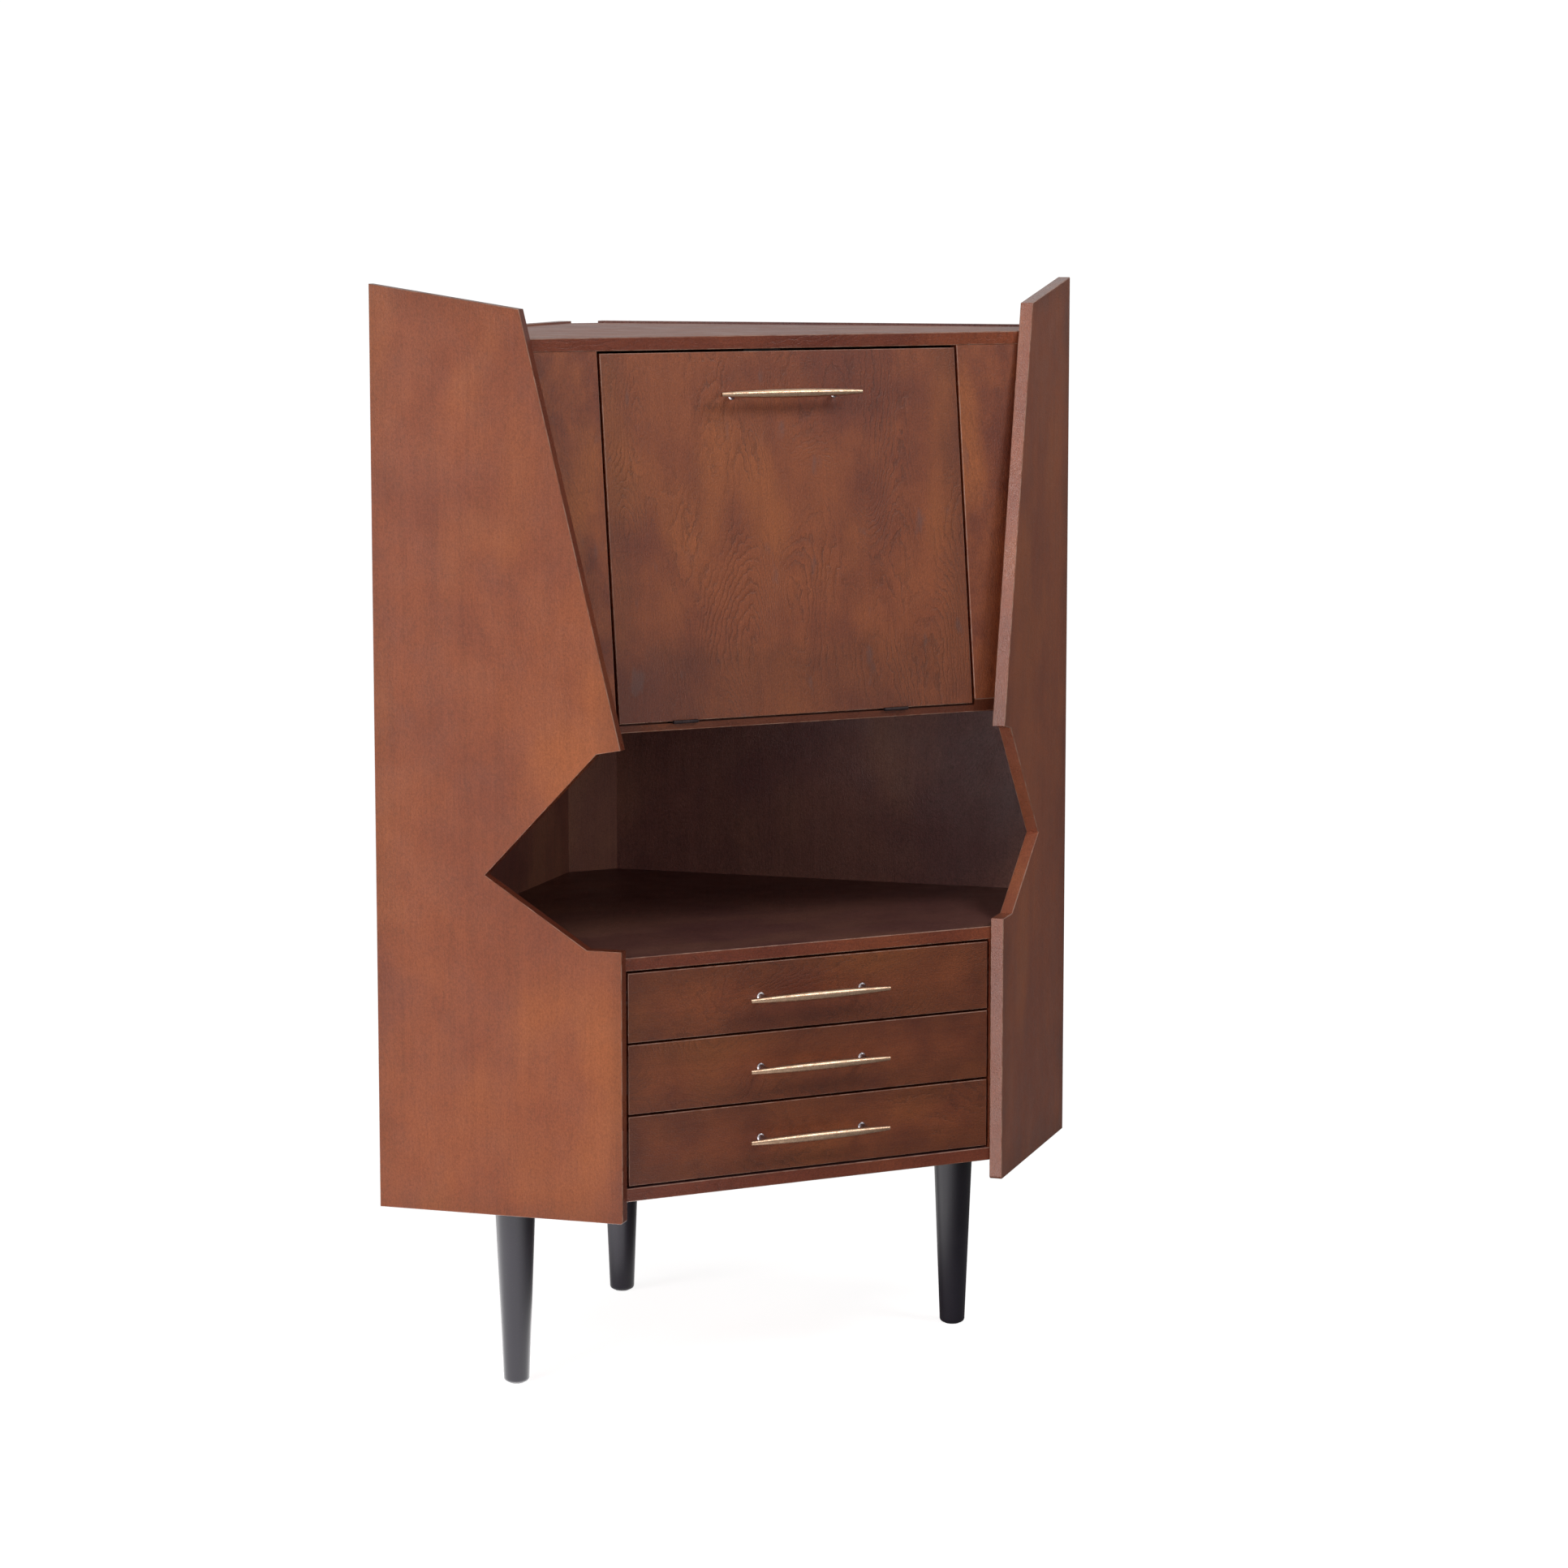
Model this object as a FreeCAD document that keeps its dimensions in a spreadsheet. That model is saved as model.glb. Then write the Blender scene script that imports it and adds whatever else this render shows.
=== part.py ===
"""Corner bar cabinet with a fold-out shelf, an open niche and three drawers.

The plan is a five-sided corner cabinet: two back panels stand square to each other against the
walls of a room's corner, two notched side panels meet them square, and the front runs across.
While it is built, x = 0 is the middle, y = 0 the side panels' front corners and z = 0 the floor.
Each finished piece then moves forward by middle_y, to centre the cabinet on the origin.
"""
import FreeCAD, Part
import os
import re
import Sketcher
from FreeCAD import Vector

doc = FreeCAD.newDocument("CornerBarCabinet")
sizes = doc.addObject("Spreadsheet::Sheet", "Sizes")
worked = doc.addObject("Spreadsheet::Sheet", "Worked")
owner = {}
spots = {}
pieces = []


# ---------------------------------------------------------------- spreadsheets

# Driving sizes, in millimetres and degrees.
SIZES = {
    "overall_width": 889,  # across the side panels' outer rear corners
    "front_width": 481,  # across the side panels' outer front corners
    "corner_clip": 28.5,  # from the walls' corner to the back panels' rear corners
    "side_thickness": 15,  # side panels
    "back_thickness": 15,  # back panels
    "strip_thickness": 15,  # board across the clipped corner
    "shelf_thickness": 15,  # top, bar floor, niche floor and base
    "face_thickness": 15,  # door, face panels and drawer fronts
    "case_thickness": 12,  # upright sides of the drawer case
    "arris": 1.2,  # rounding of the boards' visible edges
    "corner_radius": 3.5,  # rounding of the side panels' lower front corners

    "leg_height": 240.5,  # floor to the underside of the base
    "drawer_front_height": 77.6,  # each drawer front
    "drawer_gap": 2.5,  # round each drawer front
    "niche_clear": 243.7,  # niche floor to the underside of the bar floor
    "bar_clear": 399.3,  # bar floor to the underside of the top
    "side_skirt": 21.6,  # side panels below the base
    "back_lip": 2.5,  # back panels above the top

    "crest_rise": 32,  # side panels' slope break above the top
    "crest_run": 114,  # slope break, along the side panel from its front
    "peak_rise": 26.3,  # side panels' rear corner above the slope break
    "brow_drop": 13.2,  # upper front tip below the bar floor
    "brow_run": 28,  # end of the short edge behind the tip
    "brow_fall": 5.2,  # fall of that edge
    "notch_rise": 86.8,  # notch point above the niche floor
    "notch_run": 159,  # notch point, along the side panel from its front
    "ledge_rise": 9.3,  # lower ledge above the niche floor
    "ledge_run": 40.4,  # length of the lower ledge

    "front_setback": 12.5,  # drawer fronts behind the side panels' front corners
    "case_reveal": 2.3,  # visible edge of each drawer case side
    "face_setback": 41,  # door's lower front edge behind the same corners
    "lean": 6.66,  # degrees by which the door leans back
    "face_panel_foot": 35.3,  # width of a face panel at the door's lower edge
    "door_gap": 3,  # door to each face panel
    "door_top_gap": 2.4,  # door to the top
    "door_overlap": 4.9,  # door's lower edge below the bar floor's upper face
    "door_back_gap": 1,  # door to the wall of the bar floor's rebate

    "hinge_slit": 2,  # door's lower edge to the rebate, filled by the hinge leaves
    "hinge_left_x": -143,  # middle of the left hinge
    "hinge_right_x": 121,  # middle of the right hinge
    "hinge_width": 30,  # leaf and knuckles together
    "hinge_leaf_depth": 12,  # leaf from the door's front face
    "hinge_leaf_thickness": 0.8,  # leaf
    "knuckle_forward": 2.2,  # hinge axis in front of the door's face
    "knuckle_radius": 1.9,  # outside of the knuckles
    "hinge_pin_radius": 1,  # hinge pin
    "middle_knuckle": 10,  # length of the door leaf's knuckle
    "knuckle_gap": 0.2,  # between knuckles
    "pin_clearance": 0.05,  # round a hinge or stay pin
    "hinge_screw_spread": 9,  # hinge screws from the middle of the hinge
    "hinge_screw_inset": 7,  # hinge screws behind the door's front face
    "hinge_screw_radius": 1.1,  # shank
    "hinge_screw_head": 2.1,  # head
    "door_screw_length": 14,  # hinge screws into the door
    "floor_screw_length": 5,  # hinge screws into the thin front of the bar floor

    "stay_back_gap": 70,  # end of a shut stay's arm to the back panel, if it lay level
    "stay_pin_offset": 8,  # stay's door pin behind the door's back face
    "stay_spread": 12,  # degrees between the two stay pins, seen from the hinge, door shut
    "stay_pin_radius": 3,  # both pins
    "stay_thickness": 3,  # arm
    "stay_half_width": 8,  # arm
    "stay_edge_gap": 3,  # arm to the plane of the door's side edge
    "stay_slot_clearance": 0.2,  # slot to its pin, each side
    "stay_end": 9,  # arm beyond the open end of its slot
    "bracket_thickness": 2,  # stay brackets
    "bracket_half_height": 15,  # bracket foot
    "bracket_foot": 20,  # width of the bracket foot
    "bracket_web_half": 9,  # half the height of the bracket web
    "pin_head_radius": 5,  # head that keeps the arm on its pin
    "pin_head_thickness": 1.5,  # the same head
    "arm_side_gap": 0.5,  # arm to its pin's head

    "catch_x": -15,  # middle of the magnetic catch
    "catch_width": 46,  # catch
    "catch_depth": 14,  # catch
    "catch_drop": 14,  # catch below the door's upper edge
    "catch_gap": 0.3,  # catch to its strike plate
    "strike_width": 40,  # strike plate
    "strike_height": 10,  # strike plate
    "strike_thickness": 1.2,  # strike plate
    "strike_inset": 3,  # strike plate below the door's upper edge

    "handle_length": 175,  # tapered bar
    "handle_radius": 5,  # bar in its middle
    "handle_tip_radius": 2.4,  # bar at its ends
    "handle_standoff": 22.5,  # wood to the bar's axis
    "handle_post_spread": 64,  # each post from the middle
    "handle_seat": 2,  # post's seat behind the bar's axis
    "post_foot_radius": 4.6,  # post's rim on the wood
    "post_rim": 0.6,  # post's rim
    "post_cove_radius": 3.4,  # post where its flare turns
    "post_cove_height": 1.6,  # wood to where the flare turns
    "post_neck_radius": 2.7,  # post where its flare ends
    "post_neck_height": 3.8,  # wood to the flare's end
    "post_tip_radius": 2.6,  # post at the bar
    "handle_screw_radius": 2,  # handle screw
    "handle_screw_head": 4,  # handle screw's head
    "handle_screw_head_height": 2.5,  # handle screw's head
    "handle_screw_bite": 1.6,  # handle screw past the bar's axis
    "handle_drop": 49,  # door handle below the door's upper edge
    "hole_clearance": 0.1,  # round screws, dowels and bolts

    "drawer_side_thickness": 12,  # drawer box sides and back
    "drawer_box_height": 55,  # drawer box sides
    "drawer_box_lift": 9,  # drawer box above its front's lower edge
    "drawer_floor_thickness": 5,  # plywood floor of a drawer
    "drawer_floor_lift": 8,  # floor above the box sides' lower edge
    "groove_depth": 6,  # groove for the drawer floor
    "groove_clearance": 0.1,  # groove to the drawer floor
    "drawer_back_clearance": 12,  # drawer box to the case's rear end
    "case_back_gap": 0.3,  # drawer case sides to the back panels
    "slide_space": 12.7,  # drawer box to the case side
    "slide_metal": 1.2,  # both slide members
    "channel_height": 36,  # cabinet member of a slide
    "channel_depth": 11,  # cabinet member of a slide
    "rail_depth": 10.5,  # drawer member of a slide
    "slide_clearance": 0.4,  # between the two members, above and below
    "slide_inset": 2.5,  # slide members behind the drawer front and short of the box's end

    "leg_top_radius": 24.2,  # leg at the base
    "leg_foot_radius": 14.7,  # leg at the floor
    "leg_foot_rounding": 5,  # leg's lower edge
    "leg_side_inset": 89.3,  # front leg's axis from the side panel's inner face
    "leg_back_inset": 106.3,  # front leg's axis from the back panel's inner face
    "rear_leg_inset": 78.7,  # rear leg's axis from both back panels' inner faces
    "glide_radius": 9,  # plastic glide under a leg
    "glide_height": 3,  # glide
    "glide_reveal": 1,  # part of the glide below the leg
    "bolt_radius": 4,  # hanger bolt of a leg
    "bolt_bite": 35,  # hanger bolt in the leg

    "dowel_radius": 4,  # beech dowels
    "dowel_length": 30,  # beech dowels
    "dowel_bite": 9,  # dowel in the side panel
    "dowel_front_run": 150,  # front dowels, along the side panel from its front
    "dowel_rear_inset": 48.5,  # rear dowels, along the side panel from its rear
    "back_screw_inset": 105,  # first and last back screw from the ends of a back panel, at least
    "back_screw_pitch": 180,  # between back screws
    "back_screw_radius": 2,  # shank
    "back_screw_head": 4,  # countersunk head
    "countersink": 3,  # depth of the head
    "back_screw_length": 40,  # back screws
}

# Sizes that follow from them. In plan, a point on the right side panel's inner face has
# x - y = side_line, and a point on the right back panel's inner face has x + y = wall_line.
WORKED = {
    "front_half": "front_width / 2",  # middle to an outer front corner
    "half_width": "overall_width / 2",  # middle to an outer rear corner
    "side_run": "half_width - front_half",  # depth of the side panels
    "side_length": "side_run * sqrt(2)",  # side panels along their face
    "corner_y": "side_run + half_width",  # walls' corner
    "rear_y": "corner_y - corner_clip",  # rear of the cabinet
    "side_line": "front_half - side_thickness * sqrt(2)",  # x - y of a side panel's inner face
    "wall_line": "corner_y - back_thickness * sqrt(2)",  # x + y of a back panel's inner face
    "joint_x": "(wall_line + side_line) / 2",  # inner corner of side and back panel
    "joint_y": "(wall_line - side_line) / 2",  # inner corner of side and back panel
    "back_length": "(half_width - corner_clip) * sqrt(2) - side_thickness",  # back panels
    "strip_rear_y": "rear_y - back_thickness / sqrt(2)",  # corner strip's rear face
    "strip_front_y": "strip_rear_y - strip_thickness",  # corner strip's front face
    "handle_front_y": "front_setback - handle_standoff - handle_radius",  # drawer handles' front
    "middle_y": "(rear_y + handle_front_y) / 2",  # middle of the overall depth

    "base_top": "leg_height + shelf_thickness",  # base's upper face
    "drawer_pitch": "drawer_front_height + drawer_gap",  # from drawer to drawer
    "niche_under": "base_top + 3 * drawer_pitch + drawer_gap",  # niche floor's underside
    "niche_floor_z": "niche_under + shelf_thickness",  # niche floor's upper face
    "bar_under": "niche_floor_z + niche_clear",  # bar floor's underside
    "bar_floor_z": "bar_under + shelf_thickness",  # bar floor's upper face
    "top_under": "bar_floor_z + bar_clear",  # top's underside
    "top_z": "top_under + shelf_thickness",  # top's upper face
    "crest_z": "top_z + crest_rise",  # side panel's slope break
    "peak_z": "crest_z + peak_rise",  # side panel's highest corner
    "brow_z": "bar_under - brow_drop",  # side panel's upper front tip
    "notch_z": "niche_floor_z + notch_rise",  # side panel's notch point
    "ledge_z": "niche_floor_z + ledge_rise",  # side panel's lower ledge
    "side_bottom": "leg_height - side_skirt",  # side panel's lower edge

    # The leaning face. Its own frame starts at the door's lower front edge, with y into the cabinet
    # and z up the door.
    "door_bottom": "bar_floor_z - door_overlap",  # door's lower front edge
    "top_front_y": "face_setback + (top_under - door_bottom) * tan(lean)",  # top's front edge
    "bar_front_y": "face_setback + door_overlap * tan(lean)",  # bar floor's front edge
    "door_length": "(top_under - door_top_gap - door_bottom) / cos(lean)",  # door, up its slope
    "opening_half": "side_line + face_setback - face_panel_foot",  # middle to a face panel
    "door_half": "opening_half - door_gap",  # half the door's width
    "knuckle_z": "-hinge_slit / 2",  # hinge axis, in the face's frame
    "stay_y": "face_thickness + stay_pin_offset",  # stay's door pin
    "stay_reach_y": "stay_y + knuckle_forward",  # hinge axis to the door pin, back
    "arm_x": "door_half - stay_edge_gap - stay_thickness",  # inner face of the right arm
    # between the stay pins, door open, which sets the length of the slot
    "stay_open": "wall_line - arm_x - stay_thickness - face_setback - stay_y - stay_end"
                 " - stay_half_width - stay_back_gap",
    # hinge axis to either stay pin
    "stay_radius": "stay_open / (2 * sin((stay_spread + 90 + lean) / 2))",
    "stay_reach_z": "sqrt(stay_radius ^ 2 - stay_reach_y ^ 2)",  # hinge axis to the door pin, up
    "stay_height": "stay_reach_z + knuckle_z",  # door pin above the door's lower edge
    # stay's cabinet pin, as far from the hinge axis
    "anchor_y": "stay_reach_y * cos(stay_spread) + stay_reach_z * sin(stay_spread) - knuckle_forward",
    "anchor_z": "stay_reach_z * cos(stay_spread) - stay_reach_y * sin(stay_spread) + knuckle_z",
    # arm's slope in the face's frame, door shut
    "stay_angle": "atan(stay_reach_y / stay_reach_z) / 1 deg + stay_spread / 2",
    "stay_shut": "2 * stay_radius * sin(stay_spread / 2)",  # between the stay pins, door shut

    "case_half": "side_line + front_setback - case_reveal",  # middle to a drawer case side
    "front_half_width": "case_half - drawer_gap",  # half a drawer front's width
    "box_half": "case_half - slide_space",  # half a drawer box's width
    "case_back_y": "wall_line - case_half - case_thickness - case_back_gap",  # case's rear end
    "box_front_y": "front_setback + face_thickness",  # drawer front's back face
    "box_back_y": "case_back_y - drawer_back_clearance",  # drawer box's rear end
    "rail_half_height": "channel_height / 2 - slide_metal - slide_clearance",  # drawer member
    "slide_length": "box_back_y - box_front_y - 2 * slide_inset",  # both slide members

    "leg_difference": "side_line - leg_side_inset * sqrt(2)",  # x - y of the right leg
    "leg_sum": "wall_line - leg_back_inset * sqrt(2)",  # x + y of the right leg
    "leg_x": "(leg_sum + leg_difference) / 2",  # right leg's axis
    "leg_y": "(leg_sum - leg_difference) / 2",  # right leg's axis
    "rear_leg_y": "wall_line - rear_leg_inset * sqrt(2)",  # rear leg's axis
}


def full(formula):
    """Write each alias of a formula with the sheet that holds it."""
    return re.sub(r"[a-z_][a-z_0-9]*", lambda word: owner.get(word[0], word[0]), str(formula))


def enter(sheet, row, alias, content):
    """Fill one row of a sheet and name its cell."""
    sheet.set(f"A{row}", alias)
    sheet.set(f"B{row}", content)
    sheet.setAlias(f"B{row}", alias)
    owner[alias] = f"{sheet.Name}.{alias}"


for row, (alias, number) in enumerate(SIZES.items(), 1):
    enter(sizes, row, alias, str(number))
for row, (alias, formula) in enumerate(WORKED.items(), 1):
    enter(worked, row, alias, "=" + full(formula))
doc.recompute()


# ---------------------------------------------------------------- frames

def move(x=0, y=0, z=0):
    """Placement formula: a shift."""
    return f"placement(vector({x}; {y}; {z}); rotation(vector(0; 0; 1); 0))"


def spin(axis, angle):
    """Placement formula: a turn in degrees about x, y or z."""
    x, y, z = (int(letter == axis) for letter in "xyz")
    return f"placement(vector(0; 0; 0); rotation(vector({x}; {y}; {z}); {angle}))"


def chain(*steps):
    """Join placement formulas, the outermost first."""
    return " * ".join(step for step in steps if step)


CABINET = move(y="-middle_y")
RIGHT_SIDE = chain(move(x="front_half"), spin("z", 45))
RIGHT_WALL = chain(move(x="half_width", y="side_run"), spin("z", 135))
FACE = chain(move(y="face_setback", z="door_bottom"), spin("x", "-lean"))
ALONG_Y = spin("x", -90)
AGAINST_Y = spin("x", 90)
ALONG_X = spin("y", 90)
AGAINST_X = spin("y", -90)
DOWN = spin("x", 180)


# ---------------------------------------------------------------- building blocks

def value(formula):
    """The number that a formula gives now."""
    return float(sizes.evalExpression(full(formula)))


def bind(item, **formulas):
    for name, formula in formulas.items():
        item.setExpression(name, full(formula))


def place(item, where):
    """Put an item at a placement formula."""
    spots[item.Name] = where
    item.setExpression("Placement", full(where or move()))
    return item


def piece(item, label):
    """Finish a sub-part: name it and move it with the whole cabinet."""
    item.Label = label
    place(item, chain(CABINET, spots.get(item.Name, "")))
    pieces.append(item)


def both_sides(item, name):
    """Finish a right-hand sub-part and its left-hand copy."""
    piece(item, f"right_{name}")
    copy = mirror(item)
    copy.Label = f"left_{name}"
    pieces.append(copy)


def block(x, y, z, where=""):
    """Box between two formulas along each axis."""
    item = doc.addObject("Part::Box", "Block")
    bind(item, Length=f"{x[1]} - ({x[0]})", Width=f"{y[1]} - ({y[0]})", Height=f"{z[1]} - ({z[0]})")
    return place(item, chain(where, move(x[0], y[0], z[0])))


def rod(radius, length, where):
    """Cylinder along its frame's z."""
    item = doc.addObject("Part::Cylinder", "Rod")
    bind(item, Radius=radius, Height=length)
    return place(item, where)


def taper(start_radius, end_radius, length, where):
    """Cone along its frame's z."""
    item = doc.addObject("Part::Cone", "Taper")
    bind(item, Radius1=start_radius, Radius2=end_radius, Height=length)
    return place(item, where)


def fuse(*items):
    item = doc.addObject("Part::MultiFuse", "Fusion")
    item.Shapes = list(items)
    return item


def group(*items):
    """Separate solids in one object."""
    item = doc.addObject("Part::Compound", "Group")
    item.Links = list(items)
    return item


def cut(base, *tools):
    item = doc.addObject("Part::Cut", "Cut")
    item.Base = base
    item.Tool = tools[0] if len(tools) == 1 else group(*tools)
    return item


def common(base, tool):
    item = doc.addObject("Part::Common", "Common")
    item.Base = base
    item.Tool = tool
    return item


def mirror(source):
    """The left-hand copy of a right-hand item."""
    item = doc.addObject("Part::Mirroring", "Mirror")
    item.Source = source
    item.Normal = (1, 0, 0)
    return item


def pair(item):
    return group(item, mirror(item))


def outline(body, plane, corners):
    """Closed sketch whose corners are pairs of formulas, measured from the body's origin."""
    sketch = body.newObject("Sketcher::SketchObject", "Outline")
    planes = {feature.Role: feature for feature in body.Origin.OriginFeatures}
    sketch.AttachmentSupport = (planes[plane], [""])
    sketch.MapMode = "FlatFace"
    points = [Vector(value(x), value(y), 0) for x, y in corners]
    for start, end in zip(points, points[1:] + points[:1]):
        sketch.addGeometry(Part.LineSegment(start, end), False)
    for index, corner in enumerate(corners):
        following = (index + 1) % len(corners)
        sketch.addConstraint(Sketcher.Constraint("Coincident", index, 2, following, 1))
        for axis, formula in zip(("DistanceX", "DistanceY"), corner):
            fix(sketch, axis, (-1, 1, index, 1), formula)
    return sketch


def fix(sketch, kind, references, formula):
    """Dimension in a sketch, tied to a formula."""
    number = sketch.addConstraint(Sketcher.Constraint(kind, *references, value(formula)))
    sketch.setExpression(f"Constraints[{number}]", full(formula))


def board(plane, corners, thickness, backwards=False, where=""):
    """Flat board: an outline padded by its thickness."""
    body = doc.addObject("PartDesign::Body", "Board")
    sketch = outline(body, plane, corners)
    pad = body.newObject("PartDesign::Pad", "Pad")
    pad.Profile = (sketch, [""])
    pad.Reversed = backwards
    bind(pad, Length=thickness)
    place(body, where)
    doc.recompute()
    return body


def round_corner(body, radius, corner):
    """Round a corner of an upright board's outline, right through its thickness."""
    base = body.Tip
    x, z = (value(formula) for formula in corner)
    names = []
    for number, edge in enumerate(base.Shape.Edges, 1):
        if all(abs(end.X - x) < 1e-4 and abs(end.Z - z) < 1e-4 for end in edge.Vertexes):
            names.append(f"Edge{number}")
    fillet = body.newObject("PartDesign::Fillet", "Corner")
    fillet.Base = (base, names)
    bind(fillet, Radius=radius)
    doc.recompute()
    return body


def ease(body, radius, *faces):
    """Round the edges of a body that lie in the given faces, each an axis and a formula."""
    base = body.Tip
    levels = [(axis, value(formula)) for axis, formula in faces]
    names = []
    for number, edge in enumerate(base.Shape.Edges, 1):
        ends = [vertex.Point for vertex in edge.Vertexes]
        if any(all(abs(getattr(end, axis) - level) < 1e-4 for end in ends) for axis, level in levels):
            names.append(f"Edge{number}")
    fillet = body.newObject("PartDesign::Fillet", "Arris")
    fillet.Base = (base, names)
    bind(fillet, Radius=radius)
    return body


def turned(profile_plane, corners, axis):
    """Body of revolution from an outline, about one of its sketch's own axes."""
    body = doc.addObject("PartDesign::Body", "Turned")
    sketch = outline(body, profile_plane, corners)
    revolve(body, sketch, axis)
    return body


def revolve(body, sketch, axis):
    revolution = body.newObject("PartDesign::Revolution", "Revolution")
    revolution.Profile = (sketch, [""])
    revolution.ReferenceAxis = (sketch, [axis])
    revolution.Angle = 360
    doc.recompute()


def screw(radius, head_radius, head_depth, length, where, clearance="0"):
    """Countersunk screw along its frame's z, or with a clearance the hole for it."""
    head = taper(f"{head_radius} + {clearance}", f"{radius} + {clearance}", head_depth, where)
    shank = rod(f"{radius} + {clearance}", f"{length} - {head_depth} + {clearance}",
                chain(where, move(z=head_depth)))
    return fuse(head, shank)


# ---------------------------------------------------------------- carcass joints

SHELF_LEVELS = ("leg_height", "niche_under", "bar_under", "top_under")


def dowel(level, run, clearance="0"):
    """Dowel from the right side panel into the edge of the shelf at a level."""
    bite = f"dowel_bite + {clearance}"
    where = chain(RIGHT_SIDE, move(run, f"side_thickness - ({bite})", f"{level} + shelf_thickness / 2"))
    return rod(f"dowel_radius + {clearance}", f"dowel_length + 2 * {clearance}", chain(where, ALONG_Y))


def back_screw(level, number, clearance="0"):
    """Numbered screw through the right back panel into the edge of the shelf at a level."""
    run = f"side_thickness + back_screw_inset + {number} * back_screw_pitch"
    where = chain(RIGHT_WALL, move(x=run, z=f"{level} + shelf_thickness / 2"), ALONG_Y)
    return screw("back_screw_radius", "back_screw_head", "countersink", "back_screw_length",
                 where, clearance)


def all_dowels(clearance="0"):
    runs = ("dowel_front_run", "side_length - dowel_rear_inset")
    return group(*(dowel(level, run, clearance) for level in SHELF_LEVELS for run in runs))


def all_back_screws(clearance="0"):
    count = 1 + int(value("(back_length - 2 * back_screw_inset) / back_screw_pitch"))
    return group(*(back_screw(level, number, clearance)
                   for level in SHELF_LEVELS for number in range(count)))


dowel_holes = all_dowels("hole_clearance")
back_screw_holes = all_back_screws("hole_clearance")
carcass_holes = group(pair(dowel_holes), pair(back_screw_holes))
piece(pair(all_dowels()), "carcass_dowels")
piece(pair(all_back_screws()), "back_panel_screws")


# ---------------------------------------------------------------- carcass

def make_side_panels():
    corners = [
        ("side_length", "peak_z"),
        ("crest_run", "crest_z"),
        ("0", "brow_z"),
        ("brow_run", "brow_z - brow_fall"),
        ("notch_run", "notch_z"),
        ("ledge_run", "ledge_z"),
        ("0", "ledge_z"),
        ("0", "side_bottom"),
        ("side_length", "side_bottom"),
    ]
    panel = board("XZ_Plane", corners, "side_thickness", backwards=True, where=RIGHT_SIDE)
    round_corner(panel, "corner_radius", ("0", "side_bottom"))
    ease(panel, "arris", ("y", "0"), ("y", "side_thickness"))
    both_sides(cut(panel, dowel_holes), "side_panel")


def make_back_panels():
    panel = block(("side_thickness", "side_thickness + back_length"), ("0", "back_thickness"),
                  ("leg_height", "top_z + back_lip"), RIGHT_WALL)
    both_sides(cut(panel, back_screw_holes), "back_panel")


def make_corner_strip():
    front = "wall_line - strip_front_y"
    rear = "wall_line - strip_rear_y"
    corners = [
        (f"-({front})", "strip_front_y"),
        (front, "strip_front_y"),
        (rear, "strip_rear_y"),
        (f"-({rear})", "strip_rear_y"),
    ]
    strip = board("XY_Plane", corners, "top_under - leg_height", where=move(z="leg_height"))
    piece(strip, "corner_strip")


def shelf(level, front_y, rear_y):
    """Board between the side panels, from its front edge to the clipped corner."""
    right = [("side_line + " + front_y, front_y), ("joint_x", "joint_y"), ("wall_line - " + rear_y, rear_y)]
    left = [(f"-({x})", y) for x, y in reversed(right)]
    body = board("XY_Plane", right + left, "shelf_thickness", where=move(z=level))
    return ease(body, "arris", ("y", front_y))


def make_shelves():
    base = shelf("leg_height", "front_setback", "strip_front_y")
    niche_floor = shelf("niche_under", "front_setback", "strip_front_y")
    bar_floor = shelf("bar_under", "bar_front_y", "strip_front_y")
    top = shelf("top_under", "top_front_y", "strip_rear_y")
    rebate = block(("-opening_half", "opening_half"), ("-face_thickness", "face_thickness + door_back_gap"),
                   ("-hinge_slit", "face_thickness"), FACE)
    screw_holes = group(*(floor_screw(x, "hole_clearance") for x in HINGE_SCREW_X))
    bolt_holes = group(*(bolt(x, y, "hole_clearance") for x, y in LEG_SPOTS))
    piece(cut(base, carcass_holes, bolt_holes), "base_panel")
    piece(cut(niche_floor, carcass_holes), "niche_floor")
    piece(cut(bar_floor, carcass_holes, rebate, screw_holes), "bar_floor")
    piece(cut(top, carcass_holes), "top_panel")


def make_face_panels():
    """Leaning panels that fill the front between the door and the side panels."""
    corners = [
        ("opening_half", "0"),
        ("joint_x", "0"),
        ("joint_x", "face_thickness"),
        ("opening_half", "face_thickness"),
    ]
    slab = board("XY_Plane", corners, "door_length + 3 * face_thickness",
                 where=chain(FACE, move(z="-face_thickness")))
    ease(slab, "arris", ("x", "opening_half"))
    inner_y = "opening_half - side_line"
    bay = board("XY_Plane", [("opening_half", inner_y), ("joint_x", "joint_y"), ("opening_half", "joint_y")],
                "bar_clear", where=move(z="bar_floor_z"))
    both_sides(common(slab, bay), "face_panel")


# ---------------------------------------------------------------- legs

LEG_SPOTS = (("leg_x", "leg_y"), ("-leg_x", "leg_y"), ("0", "rear_leg_y"))


def bolt(x, y, clearance="0"):
    """Hanger bolt from a leg up to the base's upper face."""
    start = f"leg_height - bolt_bite - {clearance}"
    return rod(f"bolt_radius + {clearance}", f"base_top - ({start})", move(x, y, start))


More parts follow.
